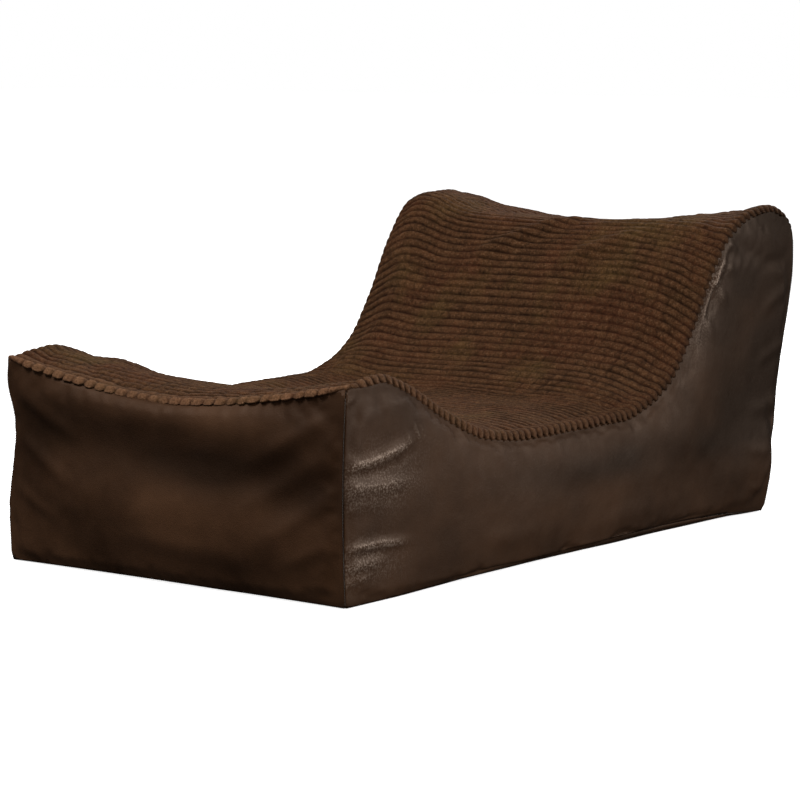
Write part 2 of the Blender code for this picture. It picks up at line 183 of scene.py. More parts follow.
# Inside: depths under the bag's side, foot, rear, base and top
LINER_DEPTHS = (0.012, 0.013, 0.012, 0.008, 0.024)
LINER_CLOTH = 0.001
BEAD_DEPTHS = (0.017, 0.018, 0.0245, 0.012, 0.03)

# Fineness of the meshes, in metres between lines
PANEL_STEP = 0.0048
BASE_STEP = 0.008
LINER_STEP = 0.016
BEAD_STEP = 0.01

# Folds on panels laid out flat, in millimetres: (from, level, to, level, width, height, bow)
PUCKERS = (  # over the side, from the foot end's corner seam
    (-20, 306, 30, 316, 7, 2.6, 0), (-20, 212, 180, 248, 10, 6.2, -9),
    (-20, 184, 165, 178, 13, 4.8, -3), (-20, 154, 120, 150, 14, 2.6, 3),
    (-20, 90, 170, 84, 8, 5.6, 4), (-20, 62, 105, 66, 10, 4, 0), (-20, 36, 75, 50, 8, 3.2, 0),
    (150, 268, 176, 226, 3.5, 3.4, 0), (170, 262, 190, 220, 3.2, 2.2, 0),
    (135, 255, 150, 225, 3.2, 2, 0),
)
SIDE_SLACK = (
    (1030, 492, 1080, 462, 7, 4.4, 0), (1008, 462, 1060, 428, 7, 4.4, 0),
    (980, 435, 1035, 370, 12, 5.6, 0), (945, 390, 990, 315, 11, 4.2, 0),
    (1250, 400, 1130, 350, 12, 3, -4), (1250, 310, 1120, 270, 11, 2.8, 4),
    (1220, 200, 1090, 190, 12, 3, 4), (1190, 110, 1060, 130, 10, 2.6, 3),
    (1180, 45, 1070, 60, 8, 2.2, 2), (160, 290, 300, 120, 30, 3, 10),
    (420, 190, 700, 110, 28, 3, 10), (760, 205, 1030, 90, 30, 3.6, 10),
    (300, 60, 560, 50, 18, 2.2, 4), (620, 50, 900, 65, 18, 2.4, -4),
)
FRONT_FOLDS = (
    (340, 300, 130, 190, 16, 5, 8), (345, 245, 120, 120, 17, 4.6, 6),
    (345, 180, 170, 75, 14, 3.6, 4), (350, 110, 210, 45, 11, 2.8, 2),
    (-340, 290, -150, 200, 16, 4.6, -6), (-345, 215, -170, 130, 13, 3.6, -4),
    (-345, 130, -210, 75, 11, 2.8, -2), (220, 50, -120, 70, 20, 3.4, -6),
    (90, 255, -170, 245, 22, 2.6, -6),
)
FRONT_BANDS = ((0.19, 0.034, -0.006), (0.262, 0.034, 0.01), (0.105, 0.045, 0.009))  # metres
REAR_FOLDS = (
    (345, 440, 120, 360, 16, 4.4, 6), (350, 340, 140, 270, 16, 4, 6),
    (350, 220, 190, 170, 12, 3.2, 3), (-345, 450, -100, 380, 18, 4.4, -6),
    (-350, 320, -150, 240, 14, 4, -5), (-350, 210, -200, 150, 12, 3, -3),
    (160, 150, -170, 165, 20, 3.6, 6), (120, 300, -140, 285, 24, 3, 8),
)
PLUSH_CREASES = (
    (-160, 955, 90, 1090, 15, 15, -8), (45, 962, 215, 1030, 13, 12, -2),
    (-200, 1100, -280, 1200, 18, 4, 4), (200, 1070, 260, 1190, 18, 4, 4),
    (-180, 860, 150, 850, 20, 3.4, 4), (-220, 780, 200, 790, 24, 3, 3),
)


# ---- shape


def ease(t):
    t = np.clip(t, 0, 1)
    return t * t * (3 - 2 * t)


def bell(t):
    return np.exp(-(t**2))


def half_width(along, up):
    hump = np.sqrt(np.sin(np.pi * np.clip(along, 0, 1))) * 4 * up * (1 - up)
    return BASE_HALF_WIDTH * (1 - up) + top_half_width(along * SEAM_LENGTH) * up + SIDE_BULGE * hump


def rim_lift(across, along):
    side = np.maximum(0.0, (np.abs(across) - FLAT_ACROSS) / (1 - FLAT_ACROSS))
    foot = np.maximum(0.0, 1 - along / FLAT_ALONG[0])
    rear = np.maximum(0.0, (along - FLAT_ALONG[1]) / (1 - FLAT_ALONG[1]))
    far = SIDE_LIFT * np.sqrt(np.sin(np.pi * np.clip(along, 0, 1)))
    sides = side**2 * np.where(across > 0, near_lift(along * SEAM_LENGTH), far)
    ends = np.sqrt(np.cos(np.pi / 2 * np.clip(across, -1, 1)))
    return sides + END_LIFT * np.maximum(foot, rear) ** 2 * ends


def top_rise(across, along):
    distance = along * SEAM_LENGTH
    far = far_ridge(distance) * bell((across + 0.87) / 0.2)
    crown = top_crown(distance) * (1 - np.abs(across) ** CROWN_POWER)
    sag = top_sag(distance) + REAR_SLACK * ease((distance - 1.04) / 0.07) * (1 + across)
    return crown + far - sag * (1 - np.abs(across) ** SAG_POWER)


def bag_points(across, along, up):
    """Points of the bag, as an array of (x, y, z), for arrays of block places."""
    across, along, up = np.broadcast_arrays(across, along, up)
    pillow = 1 - np.abs(across) ** BULGE_POWER
    height = up * top_seam(along * SEAM_LENGTH)
    tuck = TUCK * np.maximum(0.0, 1 - height / TUCK_HEIGHT) ** 2
    pinch = (FOOT_PINCH[0] - FOOT_PINCH[1] * across) * 4 * up * (1 - up) * (1 - pillow)
    foot = pinch - foot_bulge(up * FOOT_TOP) * pillow + tuck
    rear = rear_edge(up * REAR_TOP) + rear_bulge(up * REAR_TOP) * pillow - tuck
    lift = rim_lift(across, along) * np.maximum(0.0, 1 - up / LIFT_FADE) ** 2
    low = bell((height - FLARE_HEIGHT[0]) / FLARE_HEIGHT[1])
    by_end = bell(np.minimum(along, 1 - along) * SEAM_LENGTH / FLARE_ALONG)
    swollen = (across > 0) == (along > 0.5)
    ear = bell((height - EAR_HEIGHT[0]) / EAR_HEIGHT[1]) * (along <= 0.5)
    flare = swollen * by_end * (FLARE * low + EAR * ear)
    x = across * (half_width(along, up) - tuck + flare * across**2)
    y = (1 - along) * foot + along * rear - ORIGIN_FROM_FOOT
    z = lift + height + up**3 * top_rise(across, along)
    return np.stack([x, y, z], -1)


def unit(vectors):
    return vectors / np.maximum(np.linalg.norm(vectors, axis=-1, keepdims=True), 1e-9)


def block_axes(*here):
    """Directions in which across, along and up grow at block places."""
    axes = []
    for way in 1e-3 * np.eye(3):
        more, less = (bag_points(*(h + s * w for h, w in zip(here, way))) for s in (1, -1))
        axes.append(unit(more - less))
    return axes


def seam_distances(across, along, up):
    """How far block places are from the side, end and top or base faces, in metres."""
    height = top_seam(along * SEAM_LENGTH)
    return (
        (1 - np.abs(across)) * half_width(along, up),
        np.minimum(along, 1 - along) * SEAM_LENGTH,
        np.minimum(up, 1 - up) * height,
    )


def seam_pull(across, along, up):
    """The seams draw in, and the upright ones have a folded lip beside them."""
    gaps = seam_distances(across, along, up)
    signs = (np.sign(across), np.where(along > 0.5, 1.0, -1.0), np.where(up > 0.5, 1.0, -1.0))
    outward = [s[..., None] * d for s, d in zip(signs, block_axes(across, along, up))]
    moved = np.zeros(across.shape + (3,))
    for i, j in itertools.combinations(range(3), 2):
        off = gaps[i] + gaps[j]
        dip = -SEAM_PULL * bell(off / SEAM_REACH)
        if (i, j) == (0, 1):
            dip += LIP * bell((off - LIP_AT) / (LIP_AT / 2))
        moved += dip[..., None] * unit(outward[i] + outward[j])
    return moved


# ---- noise and folds


def random_of(*whole):
    """Repeatable numbers from 0 to 1 for whole-number arrays."""
    mixed = sum(np.asarray(w, float) * k for w, k in zip(whole, (12.9898, 78.233, 37.719)))
    return np.modf(np.abs(np.sin(mixed + 4.1) * 43758.5453))[0]


def noise(*places):
    """Smooth noise from -1 to 1."""
    cells = [np.floor(p) for p in places]
    parts = [ease(p - c) for p, c in zip(places, cells)]
    total = 0.0
    for corner in itertools.product((0, 1), repeat=len(places)):
        weight = 1.0
        for bit, part in zip(corner, parts):
            weight = weight * (part if bit else 1 - part)
        total = total + weight * random_of(*[c + bit for c, bit in zip(cells, corner)])
    return 2 * total - 1


def fold(first, second, row):
    """A ridge on a panel laid out flat as (first, second), from a row of a table of folds.

    It fades at both ends, has a shallow valley along each flank, and bows sideways.
    """
    x, y, end_x, end_y, width, height, bow = np.array(row) / 1000
    length = np.hypot(end_x - x, end_y - y)
    way = (end_x - x) / length, (end_y - y) / length
    t = ((first - x) * way[0] + (second - y) * way[1]) / length
    side = (second - y) * way[0] - (first - x) * way[1] - bow * 4 * t * (1 - t)
    fade = ease(t / 0.25) * ease((1 - t) / 0.45)
    off = (side / width) ** 2
    return height * fade * (np.exp(-off) - 0.35 * np.exp(-off / 5))


def folds_of(table, first, second):
    return sum(fold(first, second, row) for row in table)


def side_gathers():
    """Small pleats below the side's top seam."""
    rows = []
    for i in range(30):
        at = 50 + 39.5 * i + 12 * random_of(i, 3)
        top = 1000 * top_seam(at / 1000)
        end = at + 20 * (random_of(i, 5) - 0.5) + 12
        deep = 30 + 35 * random_of(i, 7)
        rows.append((at, top + 6, end, top - deep, 6.5, 0.2 + 0.6 * random_of(i, 9), 0))
    return rows


def front_gathers():
    """Small pleats below the foot end's top seam."""
    rows = []
    for i in range(17):
        at = -320 + 39 * i + 14 * random_of(i, 2)
        low = 250 - 30 * random_of(i, 4)
        end = at + 16 * (random_of(i, 6) - 0.5)
        rows.append((at, 325, end, low, 7, 0.2 + 0.4 * random_of(i, 8), 0))
    return rows


def side_folds(distance, height):
    """Puckers, gathers, long slack folds and a swell below the backrest's seam."""
    bump = folds_of([*PUCKERS, *side_gathers(), *SIDE_SLACK], distance, height)
    below = (top_seam(distance) - height - 0.02) / 0.013
    bump += 0.006 * bell(below) * bell((distance - 0.995) / 0.05)
    bump += 0.0016 * noise(distance / 0.12, height / 0.09)
    return bump + 0.0005 * noise(distance / 0.035, height / 0.028)


def front_folds(x, height):
    """A hollow across the middle, soft diagonals from the top corners, and slack low down."""
    middle = np.clip(1 - (np.abs(x) / 0.35) ** 3, 0, 1)
    bump = folds_of([*FRONT_FOLDS, *front_gathers()], x, height)
    for level, width, tall in FRONT_BANDS:
        bump += tall * middle * bell((height - level + 0.05 * x) / width)
    bump += 0.0016 * noise(x / 0.11 + 7, height / 0.08)
    return bump + 0.0005 * noise(x / 0.034, height / 0.027 + 9)


def rear_folds(x, height):
    """Soft diagonals and slack, and none beside the zip."""
    bump = folds_of(REAR_FOLDS, x, height)
    bump += 0.0018 * noise(x / 0.12 + 3, height / 0.09 + 5)
    bump += 0.0005 * noise(x / 0.035, height / 0.03)
    return bump * ease((np.abs(height - ZIP_HEIGHT) - ZIP_OPENING / 2) / 0.045)


def plush_folds(across, distance):
    """Creases of the plush where the backrest leans back, and slack over the seat."""
    x = across * BASE_HALF_WIDTH
    return folds_of(PLUSH_CREASES, x, distance) + 0.0026 * noise(x / 0.13, distance / 0.1)


# ---- meshes


def new_mesh(name, points, faces, finish):
    mesh = bpy.data.meshes.new(name)
    mesh.from_pydata(np.asarray(points, float).reshape(-1, 3).tolist(), [], faces)
    mesh.materials.append(finish)
    mesh.shade_smooth()
    made = bpy.data.objects.new(name, mesh)
    SCENE.collection.objects.link(made)
    return made


def grid_faces(rows, columns, flip=False, start=0):
    a = (np.arange(rows - 1)[:, None] * columns + np.arange(columns - 1)[None, :]).ravel() + start
    quads = np.stack([a, a + 1, a + columns + 1, a + columns], 1)
    return (quads[:, ::-1] if flip else quads).tolist()


def rim_of(rows, columns):
    """The border of a grid, in order: (row, column) pairs."""
    last, end = rows - 1, columns - 1
    ring = [(0, j) for j in range(columns)] + [(i, end) for i in range(1, rows)]
    ring += [(last, j) for j in range(end - 1, -1, -1)] + [(i, 0) for i in range(last - 1, 0, -1)]
    return ring


def thinned(count, step):
    """Every step-th index of a line, with both ends."""
    return [*range(0, count - 1, step), count - 1]


def closed_panel(name, outer, inner, steps, finish, flip):
    """A fine outer face and a coarser inner one, joined round the rim."""
    rows, columns = outer.shape[:2]
    keep_rows, keep_columns = thinned(rows, steps[0]), thinned(columns, steps[1])
    back = inner[np.ix_(keep_rows, keep_columns)]
    few_rows, few_columns = back.shape[:2]
    count = rows * columns
    faces = grid_faces(rows, columns, flip)
    faces += grid_faces(few_rows, few_columns, not flip, count)
    fine = rim_of(rows, columns)
    index = {spot: i for i, spot in enumerate(fine)}
    number = {}
    for i, j in rim_of(few_rows, few_columns):
        number[keep_rows[i], keep_columns[j]] = count + i * few_columns + j
    coarse, edge = list(number), []
    for a, b in zip(coarse, coarse[1:] + coarse[:1]):
        first, second = index[a], index[b] or len(fine)
        middle = (first + second) // 2
        for k in range(first, second):
            p, q = fine[k], fine[(k + 1) % len(fine)]
            near = number[a] if k < middle else number[b]
            edge.append((q[0] * columns + q[1], p[0] * columns + p[1], near))
            if k == middle:
                edge.append((p[0] * columns + p[1], number[a], number[b]))
    faces += [tuple(reversed(f)) for f in edge] if flip else edge
    points = np.concatenate([outer.reshape(-1, 3), back.reshape(-1, 3)])
    return new_mesh(name, points, faces, finish)


def normals_of(points, flip):
    first = np.gradient(points, axis=1)
    second = np.gradient(points, axis=0)
    found = unit(np.cross(first, second))
    return -found if flip else found


def paint(thing, name, values):
    """A per-point number that the material reads. Points past the outer face get 0."""
    whole = np.zeros(len(thing.data.vertices), np.float32)
    whole[: values.size] = values.ravel()
    layer = thing.data.attributes.new(name, "FLOAT", "POINT")
    layer.data.foreach_set("value", whole)


def dress(thing, slot, *nodes):
    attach(thing, "bag")
    if nodes:
        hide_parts(*nodes)


# ---- materials


class Paint:
    """A short way to write a node material."""

    def __init__(self, name):
        self.material = bpy.data.materials.new(name)
        self.material.use_nodes = True
        self.tree = self.material.node_tree
        self.place = self.node("TexCoord", "Object")

    def put(self, spot, value):
        """Fill an input with another node's output, a colour or a number."""
        if isinstance(value, bpy.types.NodeSocket):
            self.tree.links.new(value, spot)
        elif isinstance(value, tuple) and spot.type == "RGBA":
            spot.default_value = (*value, 1.0)
        else:
            spot.default_value = value

    def node(self, kind, output=0, inputs=None, **settings):
        made = self.tree.nodes.new(f"ShaderNode{kind}")
        for key, value in settings.items():
            setattr(made, key, value)
        for key, value in (inputs or {}).items():
            self.put(made.inputs[key], value)
        return made.outputs[output]

    def noise(self, scale, detail=3.0, rough=0.55, place=None):
        shape = {"Scale": scale, "Detail": detail, "Roughness": rough}
        return self.node("TexNoise", 0, {"Vector": place or self.place, **shape})

    def cells(self, scale):
        shape = {"Scale": scale, "Randomness": 1.0}
        return self.node("TexVoronoi", "Distance", {"Vector": self.place, **shape})

    def waves(self, scale, place=None, **settings):
        """Bands from 0 to 1."""
        shape = {"Scale": scale, "Distortion": 0.4 if settings else 0.0}
        return self.node("TexWave", 1, {"Vector": place or self.place, **shape}, **settings)

    def stretched(self, scale):
        return self.node("Mapping", 0, {"Vector": self.place, "Scale": scale})

    def attribute(self, name):
        return self.node("Attribute", "Fac", attribute_name=name)

    def ramp(self, factor, *stops):
        made = self.node("ValToRGB", 0, {0: factor})
        marks = made.node.color_ramp.elements
        while len(marks) < len(stops):
            marks.new(0.5)
        for mark, (at, colour) in zip(marks, stops):
            mark.position = at
            mark.color = (*(colour if isinstance(colour, tuple) else (colour,) * 3), 1.0)
        return made

    def mix(self, factor, first, second, way="MIX"):
        inputs = {0: factor, 6: first, 7: second}
        return self.node("Mix", 2, inputs, data_type="RGBA", blend_type=way)

    def times(self, first, second):
        return self.node("Math", 0, {0: first, 1: second}, operation="MULTIPLY")

    def plus(self, first, second):
        return self.node("Math", 0, {0: first, 1: second}, operation="ADD")

    def bump(self, height, strength, distance, **more):
        inputs = {"Strength": strength, "Distance": distance, "Height": height, **more}
        return self.node("Bump", 0, inputs)

    def finish(self, colour, roughness, normal=None, **more):
        shader = self.tree.nodes["Principled BSDF"]
        inputs = {"Base_Color": colour, "Roughness": roughness, "Normal": normal, **more}
        for key, value in inputs.items():
            if value is not None:
                self.put(shader.inputs[key.replace("_", " ")], value)
        return self.material


def leather_finish():
    """Fine grain, speckled and paler where it is worn and where highlights are painted, and deeper
    brown where shade is painted.
    """
    p = Paint("faux leather")
    patches = p.noise(5.0, 4.0)
    colour = p.ramp(patches, (0.32, (0.0245, 0.0103, 0.0045)), (0.7, (0.062, 0.0278, 0.0128)))
    grain = p.plus(p.times(p.cells(720.0), 0.8), p.times(p.noise(260.0, 5.0, 0.65), 0.7))
    specks = p.ramp(p.noise(300.0, 3.0, 0.85), (0.5, 0.0), (0.59, 1.0))
    wear = p.attribute("wear")
    # Paler, speckled colour where the leather is worn, and painted highlights on pucker crests, seam
    # lips and the backrest's seam.
    colour = p.mix(p.times(specks, wear), colour, (0.37, 0.285, 0.225))
    colour = p.mix(p.times(wear, 0.35), colour, (0.095, 0.062, 0.044))
    # Painted shade: a darker brown over bands and corners of the foot end and sides.
    colour = p.mix(p.times(p.attribute("dye"), 0.88), colour, (0.013, 0.0058, 0.0028))
    rough = p.mix(wear, p.ramp(p.noise(34.0, 4.0), (0.3, 0.56), (0.7, 0.7)), (0.33, 0.33, 0.33))
    normal = p.bump(grain, 0.42, 0.0007, Normal=p.bump(p.noise(46.0, 4.0), 0.2, 0.004))
    shine = {"Specular_IOR_Level": 0.2, "Specular_Tint": (1.0, 0.7, 0.5)}
    return p.finish(colour, rough, normal, **shine)


def plush_finish():
    """Deep brown between the wales as painted shade, rust and olive patches, pale tips partly as a
    painted highlight, and a painted highlight on the rim.
    """
    p = Paint("wide-wale plush")
    pile = p.attribute("pile")
    fibres = p.noise(430.0, 3.0, 0.75)
    tufts = p.noise(150.0, 4.0, 0.7)
    shades = (0.05, (0.0145, 0.006, 0.0025)), (0.55, (0.032, 0.0134, 0.0055))
    # Painted shade: darker towards the groove floors, where the pile is low.
    deep = p.ramp(pile, *shades, (0.95, (0.052, 0.0228, 0.0096)))
    rust = p.ramp(p.noise(9.0, 4.0, 0.6), (0.42, 0.0), (0.62, 1.0))
    colour = p.mix(p.times(rust, 0.4), deep, (0.049, 0.0152, 0.0066))
    olive = p.ramp(p.noise(6.5, 4.0, 0.6, p.stretched((1.3, 1.0, 1.0))), (0.5, 0.0), (0.7, 1.0))
    colour = p.mix(p.times(olive, 0.55), colour, (0.06, 0.0345, 0.011))
    # Pale fibres where the pile is high, partly a painted highlight on the wale tops.
    light = p.ramp(fibres, (0.5, 0.0), (0.7, 1.0))
    colour = p.mix(p.times(p.times(light, pile), 0.6), colour, (0.16, 0.09, 0.047))
    tone = p.plus(p.times(p.attribute("tone"), 0.1), 0.14)
    shade = p.ramp(p.plus(p.times(tufts, 0.9), tone), (0.42, 0.35), (0.88, 1.6))
    colour = p.mix(1.0, colour, shade, "MULTIPLY")
    strands = p.ramp(p.noise(260.0, 3.0, 0.75), (0.36, 0.25), (0.66, 1.0))
    # Painted highlight: pale strands over the rolled rim and the foot edge.
    colour = p.mix(p.times(p.attribute("rim"), strands), colour, (0.23, 0.118, 0.064))
    normal = p.bump(fibres, 0.75, 0.0011, Normal=p.bump(tufts, 0.6, 0.003))
    sheen = {"Sheen_Weight": 0.05, "Sheen_Roughness": 0.45, "Sheen_Tint": (0.55, 0.34, 0.2)}
    return p.finish(colour, 0.95, normal, Specular_IOR_Level=0.05, **sheen)


def weave_of(p, pitch):
    """Threads over and under, as a height from 0 to 1."""
    warp, weft = (p.waves(0.5 / pitch, bands_direction=way) for way in "XZ")
    return p.times(warp, weft)


def tape_finish():
    p = Paint("woven zip tape")
    weave = weave_of(p, 0.0009)
    colour = p.ramp(weave, (0.1, (0.008, 0.005, 0.004)), (0.8, (0.04, 0.024, 0.017)))
    colour = p.mix(p.times(p.noise(120.0), 0.4), colour, (0.02, 0.012, 0.009))
    return p.finish(colour, 0.85, p.bump(weave, 0.8, 0.0004), Sheen_Weight=0.1)


def nylon_finish():
    p = Paint("nylon coil")
    colour = p.ramp(p.noise(300.0), (0.3, (0.02, 0.012, 0.008)), (0.7, (0.045, 0.027, 0.018)))
    rough = p.ramp(p.noise(500.0), (0.3, 0.3), (0.7, 0.5))
    return p.finish(colour, rough, p.bump(p.noise(1500.0), 0.15, 0.0001))


def metal_finish():
    p = Paint("antique brass")
    wear = p.noise(170.0, 4.0, 0.6)
    shades = (0.3, (0.17, 0.12, 0.07)), (0.52, (0.29, 0.215, 0.13))
    colour = p.ramp(wear, *shades, (0.75, (0.4, 0.31, 0.19)))
    rough = p.ramp(p.noise(700.0, 4.0), (0.3, 0.22), (0.7, 0.48))
    brushed = p.noise(1.0, 3.0, 0.6, p.stretched((300.0, 2500.0, 2500.0)))
    normal = p.bump(brushed, 0.1, 0.0001, Normal=p.bump(wear, 0.06, 0.0002))
    return p.finish(colour, rough, normal, Metallic=1.0)


def cloth_finish():
    p = Paint("liner cloth")
    weave = weave_of(p, 0.0012)
    colour = p.ramp(weave, (0.1, (0.46, 0.44, 0.4)), (0.8, (0.72, 0.7, 0.65)))
    colour = p.mix(p.times(p.noise(20.0, 4.0), 0.3), colour, (0.55, 0.52, 0.46))
    return p.finish(colour, 0.85, p.bump(weave, 0.7, 0.0005), Sheen_Weight=0.15)


def beads_finish():
    p = Paint("foam beads")
    beads = p.cells(230.0)
    gaps = p.ramp(beads, (0.25, 1.0), (0.62, 0.0))
    # Painted shade: darker towards each cell's edge, in the gaps between beads.
    colour = p.ramp(beads, (0.3, (0.88, 0.88, 0.86)), (0.62, (0.42, 0.42, 0.41)))
    colour = p.mix(p.times(p.noise(90.0), 0.25), colour, (0.95, 0.95, 0.93))
    return p.finish(colour, 0.55, p.bump(gaps, 1.0, 0.0022))


def thread_finish():
    p = Paint("bonded thread")
    twist = p.waves(700.0, p.stretched((1.0, 1.0, 1.4)))
    colour = p.ramp(twist, (0.2, (0.03, 0.018, 0.012)), (0.8, (0.085, 0.055, 0.038)))
    return p.finish(colour, 0.6, p.bump(twist, 0.6, 0.0002), Sheen_Weight=0.2)


def floor_finish():
    """Pale, and lit from within, so that it meets the backdrop without a line."""
    p = Paint("pale floor")
    colour = p.ramp(p.noise(3.0, 3.0), (0.2, 0.86), (0.8, 0.9))
    glow = {"Emission_Color": (1.0, 1.0, 1.0), "Emission_Strength": 0.88}
    return p.finish(colour, 0.7, Specular_IOR_Level=0.1, **glow)


# ---- cloth simulation


SKIN_LINES = (61, 105, 35)  # across, along, up
SKIN_FACES = {  # face: (axis held, its value)
    "top": (2, 1.0), "base": (2, 0.0), "left": (0, 1.0), "right": (0, -1.0), "front": (1, 0.0),
    "rear": (1, 1.0),
}
INWARD = ("base", "left", "front")  # faces whose grids wind inwards
CLOTH_FRAMES = 20
CLOTH = {
    "quality": 5, "mass": 0.25, "tension_stiffness": 22.0, "compression_stiffness": 22.0,
    "shear_stiffness": 10.0, "bending_stiffness": 1.2, "shrink_min": -0.035,
    "vertex_group_mass": "held", "use_pressure": True, "uniform_pressure_force": 4.0,
}
CLOTH_CAP = 0.012
CLOTH_DIP = 0.004


def skin_grids(lines):
    """Block places of a closed skin on these lines, and each face's grid of their numbers."""
    index, places, grids = {}, [], {}
    for face, (held, value) in SKIN_FACES.items():
        first, second = (i for i in range(3) if i != held)
        grids[face] = grid = np.zeros((len(lines[second]), len(lines[first])), int)
        for i, j in np.ndindex(grid.shape):
            place = [value] * 3
            place[first], place[second] = lines[first][j], lines[second][i]
            grid[i, j] = index.setdefault(tuple(np.round(place, 5)), len(index))
            if grid[i, j] == len(places):
                places.append(place)
    return np.array(places).T, grids


def even_lines(counts):
    """Even lines across, along and up the bag."""
    return [np.linspace(-(i == 0), 1, count) for i, count in enumerate(counts)]


def blurred(values, times):
    for _ in range(times):
        padded = np.pad(values, ((1, 1), (1, 1)), "edge")
        values = (padded[:-2, 1:-1] + padded[2:, 1:-1] + padded[1:-1, :-2] + padded[1:-1, 2:]) / 4
    return values


def simulated_wrinkles():
    """How far the filled cover's slack cloth stands over its smooth shape, face by face.

    The whole skin is one closed cloth under the filling's pressure. Its seams, its base and the
    strip round the zip hold still, so the slack gathers beside them.
    """
    (across, along, up), grids = skin_grids(even_lines(SKIN_LINES))
    points = bag_points(across, along, up)
    edges = 1 * (np.abs(across) > 0.9999) + np.isin(along, (0.0, 1.0)) + np.isin(up, (0.0, 1.0))
    by_zip = (along > 0.999) & (np.abs(points[:, 2] - ZIP_HEIGHT) < 0.03)
    pinned = np.flatnonzero((edges > 1) | (up < 1e-6) | by_zip).tolist()
    faces = []
    for face, grid in grids.items():
        quads = np.stack([grid[:-1, :-1], grid[:-1, 1:], grid[1:, 1:], grid[1:, :-1]], -1)
        faces += quads.reshape(-1, 4)[:, :: -1 if face in INWARD else 1].tolist()
    skin = new_mesh("skin", points, faces, None)
    group = skin.vertex_groups.new(name="held")
    group.add(pinned, 1.0, "REPLACE")
    cloth = skin.modifiers.new("filling", "CLOTH")
    settings = cloth.settings
    for key, value in CLOTH.items():
        setattr(settings, key, value)
    settings.effector_weights.gravity = 0.0
    cloth.collision_settings.use_collision = False
    cloth.point_cache.frame_start, cloth.point_cache.frame_end = 1, CLOTH_FRAMES
    for step in range(1, CLOTH_FRAMES + 1):
        SCENE.frame_set(step)
    settled = skin.evaluated_get(bpy.context.evaluated_depsgraph_get()).to_mesh()
    moved = np.zeros(len(points) * 3, np.float32)
    settled.vertices.foreach_get("co", moved)
    moved = moved.reshape(-1, 3) - points
    bpy.data.objects.remove(skin, do_unlink=True)
    SCENE.frame_set(1)
    wrinkles = {}
    for face, grid in grids.items():
        out = normals_of(points[grid], face in INWARD)
        lifted = np.clip((moved[grid] * out).sum(-1), -CLOTH_CAP, CLOTH_CAP)
        wrinkles[face] = np.maximum(lifted - blurred(lifted, 60), -CLOTH_DIP)
    return wrinkles


def sampled(grid, first, second):
    """Catmull-Rom samples of a grid [second, first] at places from 0 to 1."""
    def weights(t):
        inner = 3 * t**3 - 5 * t**2 + 2, -3 * t**3 + 4 * t**2 + t
        return [0.5 * w for w in (-(t**3) + 2 * t**2 - t, *inner, t**3 - t**2)]

    rows, columns = grid.shape
    x, y = np.clip(first, 0, 1) * (columns - 1), np.clip(second, 0, 1) * (rows - 1)
    i, j = np.minimum(y.astype(int), rows - 2), np.minimum(x.astype(int), columns - 2)
    total = 0.0
    for a, wy in enumerate(weights(y - i)):
        for b, wx in enumerate(weights(x - j)):
            spot = np.clip(i + a - 1, 0, rows - 1), np.clip(j + b - 1, 0, columns - 1)
            total = total + wy * wx * grid[spot]
    return total


WRINKLES = simulated_wrinkles()


def wrinkle(face, first, second):
    return sampled(WRINKLES[face], first, second) if face in WRINKLES else np.zeros(first.shape)


# ---- leather panels


def spaced(length, step):
    return np.linspace(0, 1, round(length / step) + 1)


def leather_panel(face, place, first, second, folds, flip):
    """Outer and inner points of one panel, its swell, and how near a lip they are."""
    across, along, up = np.broadcast_arrays(*place(first, second))
    base = bag_points(across, along, up)
    out = normals_of(base, flip)
    gaps = seam_distances(across, along, up)
    off_seam = sum(gaps) - np.minimum.reduce(gaps)
    held = ease(np.sort(np.stack(gaps), axis=0)[1] / 0.012)
    swell = (folds(base) + 0.55 * wrinkle(face, first, second)) * held
    outer = base + out * swell[..., None] + seam_pull(across, along, up)
    under = (PANEL_INSET + a * (1 - 2 * PANEL_INSET) for a in (first, second))
    inner = bag_points(*place(*under)) + out * (swell - LEATHER)[..., None]
    return outer, inner, swell, bell((off_seam - LIP_AT) / LIP_AT)


def leather_piece(name, node, outer, inner, flip, finish, **painted):
    thing = closed_panel(name, outer, inner, (3, 3), finish, flip)
    for layer, values in painted.items():
        paint(thing, layer, values)
    dress(thing, "faux_leather", node)


